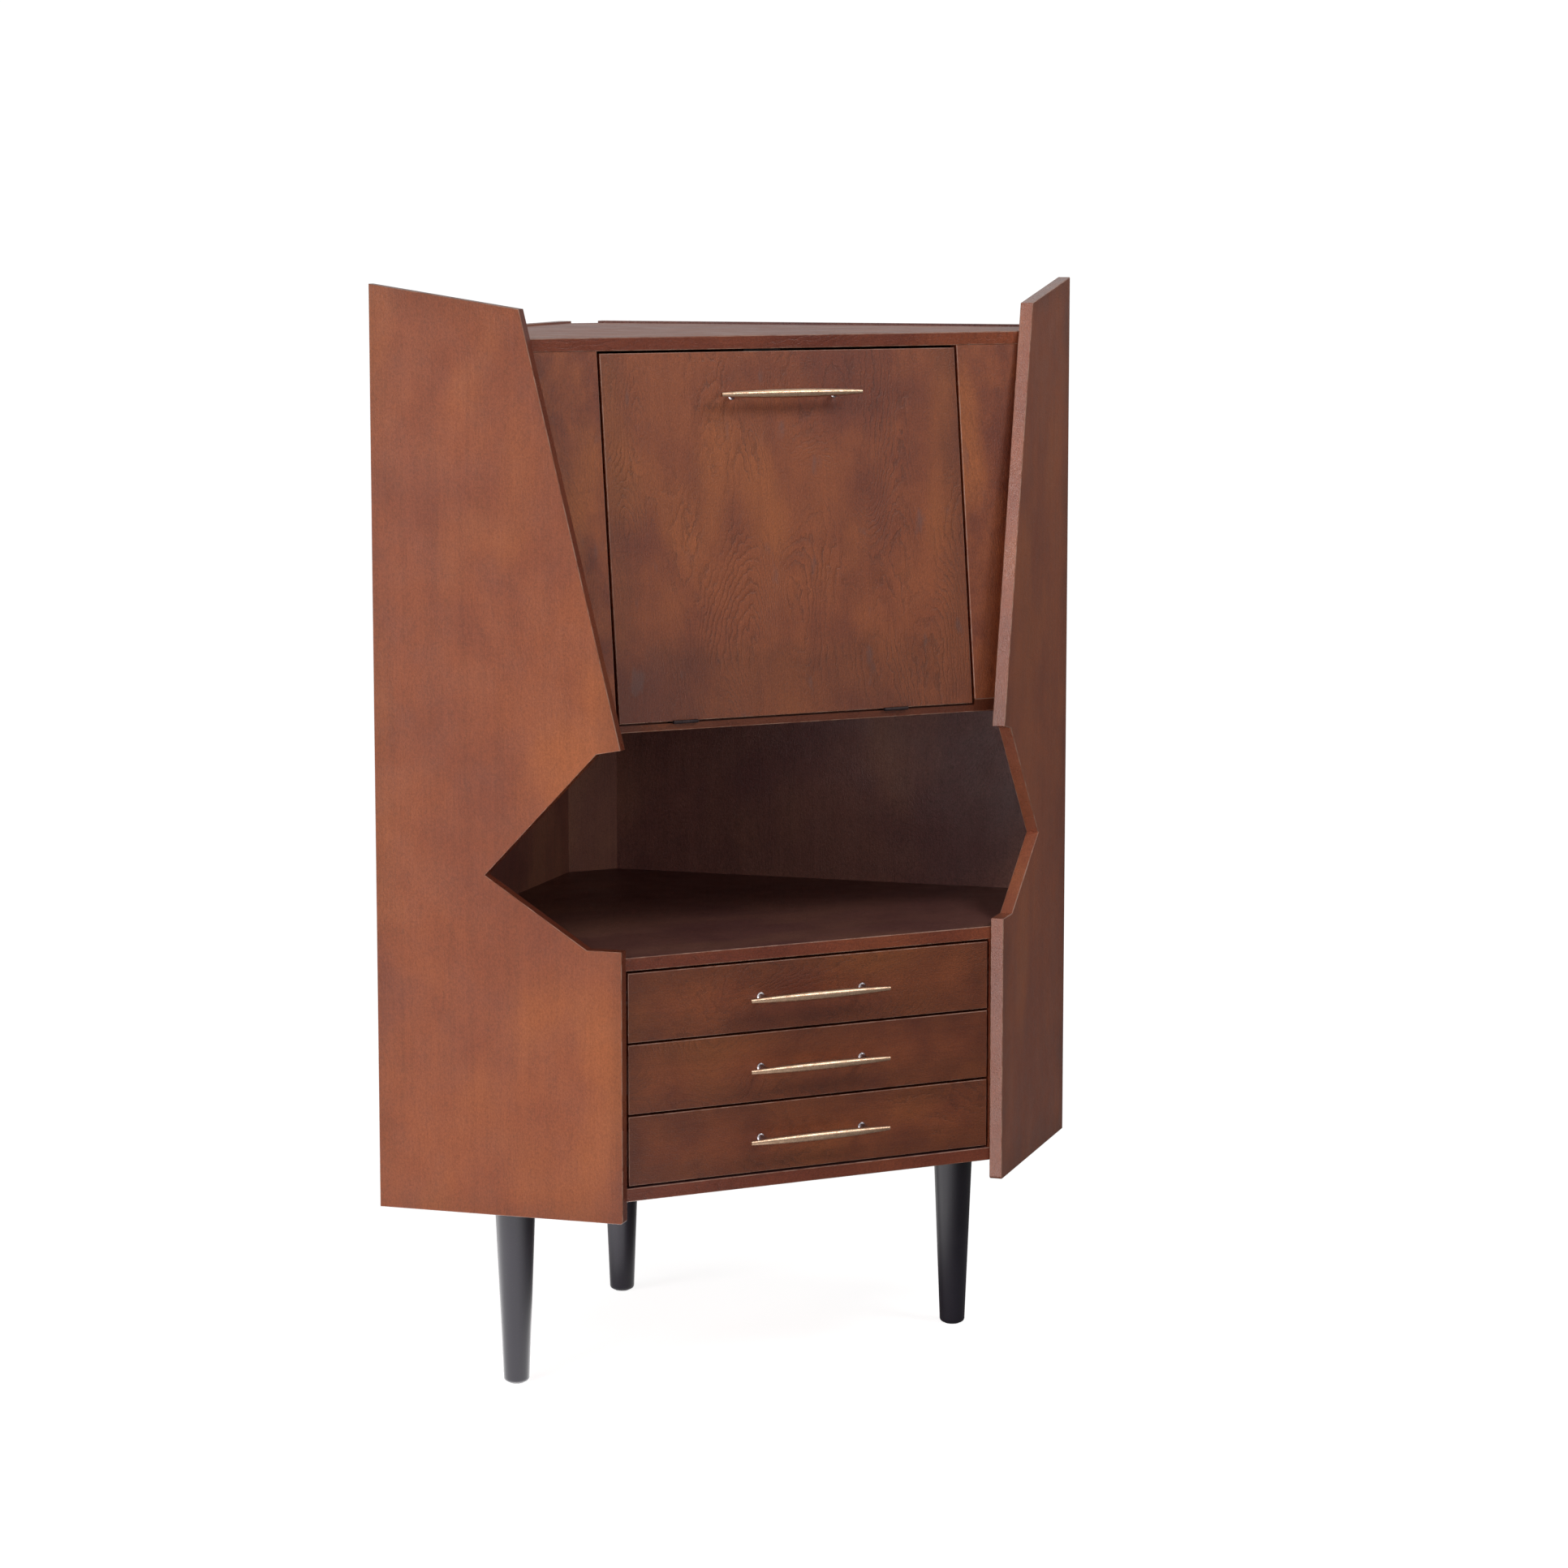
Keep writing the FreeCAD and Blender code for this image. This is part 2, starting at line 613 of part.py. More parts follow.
def make_legs():
    corners = [
        ("0", "glide_reveal"),
        ("leg_foot_radius", "glide_reveal"),
        ("leg_top_radius", "leg_height"),
        ("0", "leg_height"),
    ]
    for label, (x, y) in zip(("right_leg", "left_leg", "rear_leg"), LEG_SPOTS):
        leg = turned("XZ_Plane", corners, "V_Axis")
        ease(leg, "leg_foot_rounding", ("z", "glide_reveal"))
        recess = rod("glide_radius + hole_clearance", "glide_height", move())
        piece(place(cut(leg, recess, bolt("0", "0", "hole_clearance")), move(x, y)), label)
    glides = [rod("glide_radius", "glide_height", move(x, y)) for x, y in LEG_SPOTS]
    piece(group(*glides), "leg_glides")
    piece(group(*(bolt(x, y) for x, y in LEG_SPOTS)), "leg_bolts")


# ---------------------------------------------------------------- door, hinges and catch

HINGES = ("hinge_left_x", "hinge_right_x")
HINGE_SCREW_X = [f"{middle} {sign} hinge_screw_spread" for middle in HINGES for sign in "-+"]


def door_screw(x, clearance="0"):
    """Hinge screw up into the door."""
    where = chain(FACE, move(x, "hinge_screw_inset", "-hinge_leaf_thickness"))
    return screw("hinge_screw_radius", "hinge_screw_head", "hinge_leaf_thickness", "door_screw_length",
                 where, clearance)


def floor_screw(x, clearance="0"):
    """Hinge screw down into the bar floor."""
    where = chain(FACE, move(x, "hinge_screw_inset", "hinge_leaf_thickness - hinge_slit"), DOWN)
    return screw("hinge_screw_radius", "hinge_screw_head", "hinge_leaf_thickness", "floor_screw_length",
                 where, clearance)


def knuckle(middle, start, end):
    """Barrel on the hinge axis, between two distances from the hinge's middle."""
    where = chain(FACE, move(f"{middle} + {start}", "-knuckle_forward", "knuckle_z"), ALONG_X)
    return rod("knuckle_radius", f"{end} - ({start})", where)


def leaf(middle, barrels, z):
    """Leaf with its knuckles, bored for the pin."""
    half = "hinge_width / 2"
    parts = [block((f"{middle} - {half}", f"{middle} + {half}"), ("0", "hinge_leaf_depth"), z, FACE)]
    for start, end in barrels:
        span = (f"{middle} + {start}", f"{middle} + {end}")
        parts.append(block(span, ("-knuckle_forward", "0"), z, FACE))
        parts.append(knuckle(middle, start, end))
    return cut(fuse(*parts), hinge_pin(middle, "pin_clearance"))


def hinge_pin(middle, clearance="0"):
    where = chain(FACE, move(f"{middle} - hinge_width / 2", "-knuckle_forward", "knuckle_z"), ALONG_X)
    return rod(f"hinge_pin_radius + {clearance}", "hinge_width", where)


def make_hinges():
    inner = "middle_knuckle / 2"
    outer = f"{inner} + knuckle_gap"
    half = "hinge_width / 2"
    middle_barrel = [(f"-{inner}", inner)]
    end_barrels = [(f"-{half}", f"-({outer})"), (outer, half)]
    door_z = ("-hinge_leaf_thickness", "0")
    floor_z = ("-hinge_slit", "hinge_leaf_thickness - hinge_slit")
    door_holes = group(*(door_screw(x, "pin_clearance") for x in HINGE_SCREW_X))
    floor_holes = group(*(floor_screw(x, "pin_clearance") for x in HINGE_SCREW_X))
    door_leaves = [cut(leaf(middle, middle_barrel, door_z), door_holes) for middle in HINGES]
    floor_leaves = [cut(leaf(middle, end_barrels, floor_z), floor_holes) for middle in HINGES]
    piece(group(*door_leaves), "hinge_door_leaves")
    piece(group(*floor_leaves), "hinge_floor_leaves")
    piece(group(*(hinge_pin(middle) for middle in HINGES)), "hinge_pins")
    piece(group(*(door_screw(x) for x in HINGE_SCREW_X)), "hinge_door_screws")
    piece(group(*(floor_screw(x) for x in HINGE_SCREW_X)), "hinge_floor_screws")


def make_door():
    corners = [
        ("-door_half", "0"),
        ("door_half", "0"),
        ("door_half", "door_length"),
        ("-door_half", "door_length"),
    ]
    door = board("XZ_Plane", corners, "face_thickness", backwards=True, where=FACE)
    ease(door, "arris", ("y", "0"), ("y", "face_thickness"))
    screw_holes = group(*(door_screw(x, "hole_clearance") for x in HINGE_SCREW_X))
    handle_frame = chain(FACE, move(z="door_length - handle_drop"))
    piece(cut(door, screw_holes, handle_holes(handle_frame)), "door_panel")
    make_handle("door", handle_frame)


def make_catch():
    """Magnetic catch under the top and its strike plate on the door."""
    behind = "face_thickness + strike_thickness + catch_gap"
    span = ("catch_x - catch_width / 2", "catch_x + catch_width / 2")
    magnet = block(span, (behind, f"{behind} + catch_depth"),
                   ("door_length - catch_drop", "door_length + door_top_gap + catch_depth"), FACE)
    below_top = block(span, ("0", "joint_y"), ("0", "top_under"))
    piece(common(magnet, below_top), "magnetic_catch")
    plate = block(("catch_x - strike_width / 2", "catch_x + strike_width / 2"),
                  ("face_thickness", "face_thickness + strike_thickness"),
                  ("door_length - strike_inset - strike_height", "door_length - strike_inset"), FACE)
    piece(plate, "strike_plate")


# ---------------------------------------------------------------- stays

def headed_pin(start, reach, y, z, direction):
    """Stay pin with its head, from a bracket's web along x."""
    sign = "+" if direction == ALONG_X else "-"
    pin = rod("stay_pin_radius", reach, chain(FACE, move(start, y, z), direction))
    head = rod("pin_head_radius", "pin_head_thickness",
               chain(FACE, move(f"{start} {sign} ({reach})", y, z), direction))
    return [pin, head]


def bracket(web_x, foot_x, y, z):
    """Angle bracket: a foot on the back of the face and a web that carries the pin."""
    foot = block(foot_x, ("face_thickness", "face_thickness + bracket_thickness"),
                 (f"{z} - bracket_half_height", f"{z} + bracket_half_height"), FACE)
    web = block(web_x, ("face_thickness", f"{y} + bracket_web_half"),
                (f"{z} - bracket_web_half", f"{z} + bracket_web_half"), FACE)
    return [foot, web]


def make_stays():
    """Slotted arms. Both pins stand equally far from the hinge axis, so an arm turns half as
    fast as the door and its slot is straight."""
    web_x = "opening_half + arm_side_gap"
    cabinet_web = (web_x, f"{web_x} + bracket_thickness")
    cabinet_foot = (web_x, f"{web_x} + bracket_foot")
    anchor_reach = f"{web_x} - arm_x + arm_side_gap"
    anchor = fuse(*bracket(cabinet_web, cabinet_foot, "anchor_y", "anchor_z"),
                  *headed_pin(web_x, anchor_reach, "anchor_y", "anchor_z", AGAINST_X))
    piece(pair(anchor), "stay_cabinet_brackets")

    inner_x = "arm_x - arm_side_gap - bracket_thickness"
    door_web = (inner_x, f"{inner_x} + bracket_thickness")
    door_foot = (f"{inner_x} + bracket_thickness - bracket_foot", f"{inner_x} + bracket_thickness")
    mount_reach = "bracket_thickness + stay_thickness + 2 * arm_side_gap"
    mount = fuse(*bracket(door_web, door_foot, "stay_y", "stay_height"),
                 *headed_pin(inner_x, mount_reach, "stay_y", "stay_height", ALONG_X))
    piece(pair(mount), "stay_door_brackets")

    frame = chain(FACE, move("arm_x", "stay_y", "stay_height"), spin("x", "-stay_angle"))
    thick = ("0", "stay_thickness")
    arm_end = "stay_open + stay_end"

    def disc(radius, y):
        return rod(radius, "stay_thickness", chain(frame, move(y=y), ALONG_X))

    bar = fuse(block(thick, ("0", arm_end), ("-stay_half_width", "stay_half_width"), frame),
               disc("stay_half_width", "0"), disc("stay_half_width", arm_end))
    slot_half = "(stay_pin_radius + stay_slot_clearance)"
    slot = fuse(block(thick, ("stay_shut", "stay_open"), (f"-{slot_half}", slot_half), frame),
                disc(slot_half, "stay_shut"), disc(slot_half, "stay_open"))
    both_sides(cut(bar, slot, disc("stay_pin_radius + pin_clearance", "0")), "stay_arm")


# ---------------------------------------------------------------- handles

POSTS = ("-handle_post_spread", "handle_post_spread")


def handle_screw(frame, x, clearance="0"):
    """Shank of a handle screw, from the wood's back face into the bar."""
    where = chain(frame, move(x, "face_thickness"), AGAINST_Y)
    return rod(f"handle_screw_radius + {clearance}",
               "face_thickness + handle_standoff + handle_screw_bite", where)


def handle_holes(frame):
    return group(*(handle_screw(frame, x, "hole_clearance") for x in POSTS))


def handle_post(where):
    """Post along its frame's z, from its flared foot on the wood to its seat in the bar."""
    seat = "handle_standoff - handle_seat"
    corners = [
        ("0", "0"),
        ("post_foot_radius", "0"),
        ("post_foot_radius", "post_rim"),
        ("post_cove_radius", "post_cove_height"),
        ("post_neck_radius", "post_neck_height"),
        ("post_tip_radius", seat),
        ("0", seat),
    ]
    return place(turned("XZ_Plane", corners, "V_Axis"), where)


def make_handle(owner_name, frame):
    """Spindle bar on two posts. The frame starts on the wood, midway, with y into the wood."""
    half = "handle_length / 2"
    body = doc.addObject("PartDesign::Body", "Bar")
    ends = [(half, "handle_tip_radius"), (half, "0"), (f"-{half}", "0"), (f"-{half}", "handle_tip_radius")]
    revolve(body, spindle(body, ends), "H_Axis")
    place(body, chain(frame, move(y="-handle_standoff")))
    posts = [handle_post(chain(frame, move(x), AGAINST_Y)) for x in POSTS]
    piece(cut(body, *posts, handle_holes(frame)), f"{owner_name}_handle_bar")
    piece(group(*(cut(post, handle_holes(frame)) for post in posts)), f"{owner_name}_handle_posts")

    heads = [rod("handle_screw_head", "handle_screw_head_height",
                 chain(frame, move(x, "face_thickness"), ALONG_Y)) for x in POSTS]
    screws = [fuse(head, handle_screw(frame, x)) for head, x in zip(heads, POSTS)]
    piece(group(*screws), f"{owner_name}_handle_screws")


def spindle(body, ends):
    """Half profile of the bar: three straight edges and one long arc over the top."""
    sketch = body.newObject("Sketcher::SketchObject", "Profile")
    planes = {feature.Role: feature for feature in body.Origin.OriginFeatures}
    sketch.AttachmentSupport = (planes["XY_Plane"], [""])
    sketch.MapMode = "FlatFace"
    points = [Vector(value(x), value(y), 0) for x, y in ends]
    for start, end in zip(points, points[1:]):
        sketch.addGeometry(Part.LineSegment(start, end), False)
    crown = Vector(0, value("handle_radius"), 0)
    sketch.addGeometry(Part.Arc(points[0], crown, points[-1]), False)
    for line in range(len(points) - 2):
        sketch.addConstraint(Sketcher.Constraint("Coincident", line, 2, line + 1, 1))
    arc = len(points) - 1
    sketch.addConstraint(Sketcher.Constraint("Coincident", arc, 1, 0, 1))
    sketch.addConstraint(Sketcher.Constraint("Coincident", arc, 2, arc - 1, 2))
    for line, (x, y) in enumerate(ends[:-1]):
        fix(sketch, "DistanceX", (-1, 1, line, 1), x)
        fix(sketch, "DistanceY", (-1, 1, line, 1), y)
    fix(sketch, "DistanceX", (-1, 1, arc - 1, 2), ends[-1][0])
    fix(sketch, "DistanceY", (-1, 1, arc - 1, 2), ends[-1][1])
    sag = "(handle_radius - handle_tip_radius)"
    fix(sketch, "Radius", (arc,), f"(handle_length ^ 2 / 4 + {sag} ^ 2) / (2 * {sag})")
    return sketch


# ---------------------------------------------------------------- drawers

DRAWERS = ("bottom_drawer", "middle_drawer", "top_drawer")


def front_z(number):
    return f"base_top + drawer_gap + {number} * drawer_pitch"


def slide_z(number):
    return f"{front_z(number)} + drawer_box_lift + drawer_box_height / 2"


def slide_member(x, web_x, half_height, z):
    """Right-hand slide member: a C-section, open away from its web."""
    y = ("box_front_y + slide_inset", "box_front_y + slide_inset + slide_length")
    outside = block(x, y, (f"{z} - {half_height}", f"{z} + {half_height}"))
    inside = block(web_x, y, (f"{z} - {half_height} + slide_metal", f"{z} + {half_height} - slide_metal"))
    return cut(outside, inside)


def make_drawer(number, name):
    bottom = front_z(number)
    box_z = f"{bottom} + drawer_box_lift"
    floor_z = f"{box_z} + drawer_floor_lift"
    floor_half = "box_half - drawer_side_thickness + groove_depth"
    floor_front = "box_front_y - groove_depth"

    def floor(clearance="0"):
        return block((f"-({floor_half} + {clearance})", f"{floor_half} + {clearance}"),
                     (f"{floor_front} - {clearance}", f"box_back_y + {clearance}"),
                     (f"{floor_z} - {clearance}", f"{floor_z} + drawer_floor_thickness + {clearance}"))

    corners = [
        ("-front_half_width", bottom),
        ("front_half_width", bottom),
        ("front_half_width", f"{bottom} + drawer_front_height"),
        ("-front_half_width", f"{bottom} + drawer_front_height"),
    ]
    front = board("XZ_Plane", corners, "face_thickness", backwards=True, where=move(y="front_setback"))
    ease(front, "arris", ("y", "0"))
    handle_frame = move(y="front_setback", z=f"{bottom} + drawer_front_height / 2")
    groove = floor("groove_clearance")
    piece(cut(front, groove, handle_holes(handle_frame)), f"{name}_front")
    make_handle(name, handle_frame)

    side = block(("box_half - drawer_side_thickness", "box_half"), ("box_front_y", "box_back_y"),
                 (box_z, f"{box_z} + drawer_box_height"))
    piece(pair(cut(side, groove)), f"{name}_sides")
    back_half = "box_half - drawer_side_thickness"
    back_x = (f"-({back_half})", back_half)
    back_y = ("box_back_y - drawer_side_thickness", "box_back_y")
    back_z = (f"{floor_z} + drawer_floor_thickness", f"{box_z} + drawer_box_height")
    piece(block(back_x, back_y, back_z), f"{name}_back")
    piece(floor(), f"{name}_floor")
    rail = slide_member(("box_half", "box_half + rail_depth"),
                        ("box_half + slide_metal", "box_half + rail_depth"),
                        "rail_half_height", slide_z(number))
    piece(pair(rail), f"{name}_slide_rails")


def make_case():
    """Upright case sides with their slide channels, three a side."""
    outer = "case_half + case_thickness"
    corners = [
        ("case_half", "front_setback"),
        ("side_line + front_setback", "front_setback"),
        (outer, f"{outer} - side_line"),
        (outer, "case_back_y"),
        ("case_half", "case_back_y"),
    ]
    side = board("XY_Plane", corners, "niche_under - base_top", where=move(z="base_top"))
    piece(pair(side), "drawer_case_sides")
    channels = [slide_member(("case_half - channel_depth", "case_half"),
                             ("case_half - channel_depth", "case_half - slide_metal"),
                             "channel_height / 2", slide_z(number)) for number in range(len(DRAWERS))]
    piece(pair(group(*channels)), "slide_channels")


# ---------------------------------------------------------------- assembly and export

make_side_panels()
make_back_panels()
make_corner_strip()
make_shelves()
make_face_panels()
make_legs()
make_hinges()
make_door()
make_catch()
make_stays()
make_case()
for drawer_number, drawer_name in enumerate(DRAWERS):
    make_drawer(drawer_number, drawer_name)
doc.recompute()

for item in doc.Objects:
    if {"Invalid", "Error"} & set(item.State):
        raise RuntimeError(f"{item.Name} ({item.Label}) failed: {item.State}")
for item in pieces:
    if item.Shape.isNull() or not item.Shape.isValid() or not item.Shape.Solids:
        raise RuntimeError(f"{item.Label} has no valid solid")

os.makedirs("parts", exist_ok=True)
for item in pieces:
    item.Shape.exportStep(f"parts/{item.Label}.step")
    box = item.Shape.BoundBox
    print(f"{item.Label:26s} solids {len(item.Shape.Solids):3d}  volume {item.Shape.Volume:12.1f}  "
          f"x {box.XMin:8.2f} {box.XMax:8.2f}  y {box.YMin:8.2f} {box.YMax:8.2f}  "
          f"z {box.ZMin:8.2f} {box.ZMax:8.2f}")
print("pieces", len(pieces))
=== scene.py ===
import bpy
import math
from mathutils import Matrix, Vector


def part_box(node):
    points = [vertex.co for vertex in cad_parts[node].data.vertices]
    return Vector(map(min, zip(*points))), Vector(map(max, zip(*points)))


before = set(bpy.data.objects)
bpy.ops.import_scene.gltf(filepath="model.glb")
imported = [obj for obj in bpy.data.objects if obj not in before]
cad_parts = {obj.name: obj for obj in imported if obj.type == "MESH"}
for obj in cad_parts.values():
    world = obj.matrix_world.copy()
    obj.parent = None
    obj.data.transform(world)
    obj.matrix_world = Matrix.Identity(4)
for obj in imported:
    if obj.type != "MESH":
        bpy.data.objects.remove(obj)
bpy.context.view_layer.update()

EIGHTH = math.pi / 4
QUARTER = math.pi / 2
LEAN = math.radians(6.66)       # how far the door and the face panels lean back
DRAWERS = ("bottom_drawer", "middle_drawer", "top_drawer")

# ---------------------------------------------------------------- studio values

CAMERA_PLACE = (-2.1941, -4.4689, 1.3334)
CAMERA_BEARING = math.radians(-27.326)
CAMERA_PITCH = math.radians(-7.747)
CAMERA_LENS = 98.36
SENSOR_WIDTH = 36
CLIP_START, CLIP_END = 0.1, 100

LAMPS = (
    # name, place, aimed at, width and height, watts
    ("KeyLamp", (-3.45, -2.05, 2.65), (0.1, -0.1, 0.8), (0.9, 0.9), 36),
    ("FrontLamp", (-0.6, -5.0, 1.5), (0, 0, 0.6), (2.0, 1.4), 31),
    ("RightLamp", (1.6, -2.2, 2.9), (0.1, 0, 1.1), (1.2, 1.0), 32),
    ("LeftLamp", (-4.2, -0.6, 0.95), (-0.2, 0, 0.45), (1.8, 1.6), 76),
)

AMBIENT = 0.05                  # weak light from everywhere

# What metal, lacquer and glossy wood mirror: white walls and a ceiling, in shares of the
# backdrop's white.
WALLS = 0.8                     # the brightest wall, without the haze
HAZE = 0.25                     # the darkest wall
BEHIND = 0.26                   # the wall behind the object, as a share of WALLS
CEILING_FADE = (0.0, 0.55, 0.1, 1.0)    # sine of the height from, to; brightness from, to
TO_LEFT_WALL, LEFT_FADE = (-0.98, -0.20, 0), (-0.2, 0.9)    # bearing; its cosine from, to
TO_REAR_WALL, REAR_FADE = (0.30, 0.954, 0), (0.80, 0.97)    # the same

FLOOR_HALF = 30                 # half the floor's side
FLOOR_GREY = (0.55, 0.55, 0.55, 1)
TO_FRONT = (0.42, -0.91, 0)
FLOOR_LIFT = (0.9, 2.6, 0.9, 1.0)       # metres from, to; glow for the camera from, to
FLOOR_SHINE = (2, 6, 4.2, 0.8)          # the same, for the lit side as glossy things mirror it
FLOOR_AHEAD = (2.5, 6.5, 0.05, 0.40)    # the same, for the floor in front


# ---------------------------------------------------------------- node trees

class Nodes:
    """A node tree, with short calls for the nodes used here."""

    def __init__(self, tree):
        self.tree = tree
        tree.nodes.clear()
        self.coords = self.node("ShaderNodeTexCoord")

    def node(self, kind, **settings):
        node = self.tree.nodes.new(kind)
        for name, value in settings.items():
            setattr(node, name, value)
        return node

    def put(self, socket, value):
        """Link a socket, or set its value."""
        if isinstance(value, bpy.types.NodeSocket):
            self.tree.links.new(value, socket)
        elif socket.type == "RGBA" and len(value) == 3:
            socket.default_value = (*value, 1)
        else:
            socket.default_value = value

    def math(self, operation, a, b=0.0):
        node = self.node("ShaderNodeMath", operation=operation)
        self.put(node.inputs[0], a)
        self.put(node.inputs[1], b)
        return node.outputs[0]

    def plus(self, a, b):
        return self.math("ADD", a, b)

    def minus(self, a, b):
        return self.math("SUBTRACT", a, b)

    def times(self, a, b):
        return self.math("MULTIPLY", a, b)

    def vector(self, operation, a, b=(0, 0, 0)):
        node = self.node("ShaderNodeVectorMath", operation=operation)
        self.put(node.inputs[0], a)
        self.put(node.inputs[1], b)
        return node.outputs["Value" if operation in ("DOT_PRODUCT", "LENGTH") else "Vector"]

    def mapping(self, vector, rotation=(0, 0, 0), scale=(1, 1, 1)):
        node = self.node("ShaderNodeMapping")
        self.put(node.inputs["Vector"], vector)
        self.put(node.inputs["Rotation"], rotation)
        self.put(node.inputs["Scale"], scale)
        return node.outputs[0]

    def split(self, vector):
        node = self.node("ShaderNodeSeparateXYZ")
        self.put(node.inputs[0], vector)
        return node.outputs

    def ramp(self, value, low, high, start=0.0, end=1.0):
        """A soft step from start to end, where value goes from low to high."""
        node = self.node("ShaderNodeMapRange", interpolation_type="SMOOTHSTEP", clamp=True)
        for name, amount in (("Value", value), ("From Min", low), ("From Max", high),
                             ("To Min", start), ("To Max", end)):
            self.put(node.inputs[name], amount)
        return node.outputs[0]

    def output(self, kind, first, second):
        """Give the tree its output node, which shows the sum of two shaders."""
        both = self.node("ShaderNodeAddShader")
        self.put(both.inputs[0], first.outputs[0])
        self.put(both.inputs[1], second.outputs[0])
        self.put(self.node(kind).inputs["Surface"], both.outputs[0])


class Surface(Nodes):
    """The node tree of a new material with one Principled shader."""

    def __init__(self, name):
        self.material = bpy.data.materials.new(name)
        self.material.use_nodes = True
        super().__init__(self.material.node_tree)
        self.place = self.coords.outputs["Object"]
        self.shader = self.node("ShaderNodeBsdfPrincipled")
        out = self.node("ShaderNodeOutputMaterial")
        self.put(out.inputs["Surface"], self.shader.outputs[0])

    def noise(self, vector, size, detail=2.0, roughness=0.5, distortion=0.0, scale=None):
        """Noise of a size in swells per metre; scale below 1 draws it out along that axis."""
        node = self.node("ShaderNodeTexNoise")
        self.put(node.inputs["Vector"], self.mapping(vector, scale=scale) if scale else vector)
        for name, amount in (("Scale", size), ("Detail", detail), ("Roughness", roughness),
                             ("Distortion", distortion)):
            self.put(node.inputs[name], amount)
        return node.outputs["Fac"]

    def mix(self, factor, a, b, blend="MIX"):
        node = self.node("ShaderNodeMix", data_type="RGBA", blend_type=blend, clamp_factor=True)
        # A Mix node has sockets for every data type: 0, 6, 7 and output 2 are those for colours.
        self.put(node.inputs[0], factor)
        self.put(node.inputs[6], a)
        self.put(node.inputs[7], b)
        return node.outputs[2]

    def tinted(self, colour, tint):
        return self.mix(1.0, colour, tint, "MULTIPLY")

    def dimmed(self, colour, level):
        """A colour times a socket's number."""
        grey = self.node("ShaderNodeCombineXYZ")
        for socket in grey.inputs:
            self.put(socket, level)
        return self.tinted(colour, grey.outputs[0])

    def bump(self, height, strength, distance):
        node = self.node("ShaderNodeBump")
        self.put(node.inputs["Height"], height)
        self.put(node.inputs["Strength"], strength)
        self.put(node.inputs["Distance"], distance)
        return node.outputs[0]

    def finish(self, **sockets):
        """Set the shader's sockets, with _ for each space in a name, and return the material."""
        for name, value in sockets.items():
            self.put(self.shader.inputs[name.replace("_", " ")], value)
        return self.material


def dress(node, material):
    """Give a CAD node its material."""
    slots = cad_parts[node].data.materials
    if not slots:
        slots.append(material)
    for slot in range(len(slots)):
        slots[slot] = material


# ---------------------------------------------------------------- camera, lights and floor

def link(name, data, place=(0, 0, 0)):
    """Put a new object with its data into the scene."""
    item = bpy.data.objects.new(name, data)
    bpy.context.collection.objects.link(item)
    item.location = place
    return item


def make_camera():
    data = bpy.data.cameras.new("Camera")
    data.sensor_width = SENSOR_WIDTH
    data.lens = CAMERA_LENS
    data.clip_start, data.clip_end = CLIP_START, CLIP_END
    camera = link("Camera", data, CAMERA_PLACE)
    camera.rotation_euler = (QUARTER + CAMERA_PITCH, 0, CAMERA_BEARING)
    bpy.context.scene.camera = camera


def make_lamps():
    for name, place, target, size, watts in LAMPS:
        data = bpy.data.lights.new(name, "AREA")
        data.shape = "RECTANGLE"
        data.size, data.size_y = size
        data.energy = watts
        lamp = link(name, data, place)
        towards = Vector(target) - lamp.location
        lamp.rotation_euler = towards.to_track_quat("-Z", "Y").to_euler()


def wall_level(nodes, vector):
    """How bright the walls are along a bearing, as a share of WALLS: 1 to the left, where the big
    lamps stand, BEHIND behind the object and 0 to its right."""
    bearing = nodes.vector("NORMALIZE", nodes.vector("MULTIPLY", vector, (1, 1, 0)))
    left = nodes.ramp(nodes.vector("DOT_PRODUCT", bearing, TO_LEFT_WALL), *LEFT_FADE)
    rear = nodes.ramp(nodes.vector("DOT_PRODUCT", bearing, TO_REAR_WALL), *REAR_FADE, 0, BEHIND)
    return nodes.math("MAXIMUM", left, rear)


def level_by_ray(nodes, seen, mirrored):
    """seen for the camera's rays, mirrored for the rays that metal, lacquer and glass pass on, and
    0 for all others, so that it lights no matt surface."""
    rays = nodes.node("ShaderNodeLightPath").outputs
    passed = nodes.math("MAXIMUM", rays["Is Glossy Ray"], rays["Is Transmission Ray"])
    return nodes.math("MAXIMUM", nodes.times(rays["Is Camera Ray"], seen),
                      nodes.times(passed, mirrored))


def make_world():
    """A white backdrop, the walls and ceiling in the reflections, and weak light from all round."""
    world = bpy.data.worlds.new("World")
    bpy.context.scene.world = world
    world.use_nodes = True
    nodes = Nodes(world.node_tree)
    bearing = nodes.coords.outputs["Generated"]
    walls = nodes.plus(nodes.times(wall_level(nodes, bearing), WALLS), HAZE)
    ceiling = nodes.ramp(nodes.split(bearing)[2], *CEILING_FADE)
    studio = nodes.math("MAXIMUM", walls, ceiling)
    white = (1, 1, 1, 1)
    ambient, backdrop = (nodes.node("ShaderNodeBackground") for _ in range(2))
    for background, level in ((ambient, AMBIENT), (backdrop, level_by_ray(nodes, 1.0, studio))):
        nodes.put(background.inputs["Color"], white)
        nodes.put(background.inputs["Strength"], level)
    nodes.output("ShaderNodeOutputWorld", ambient, backdrop)


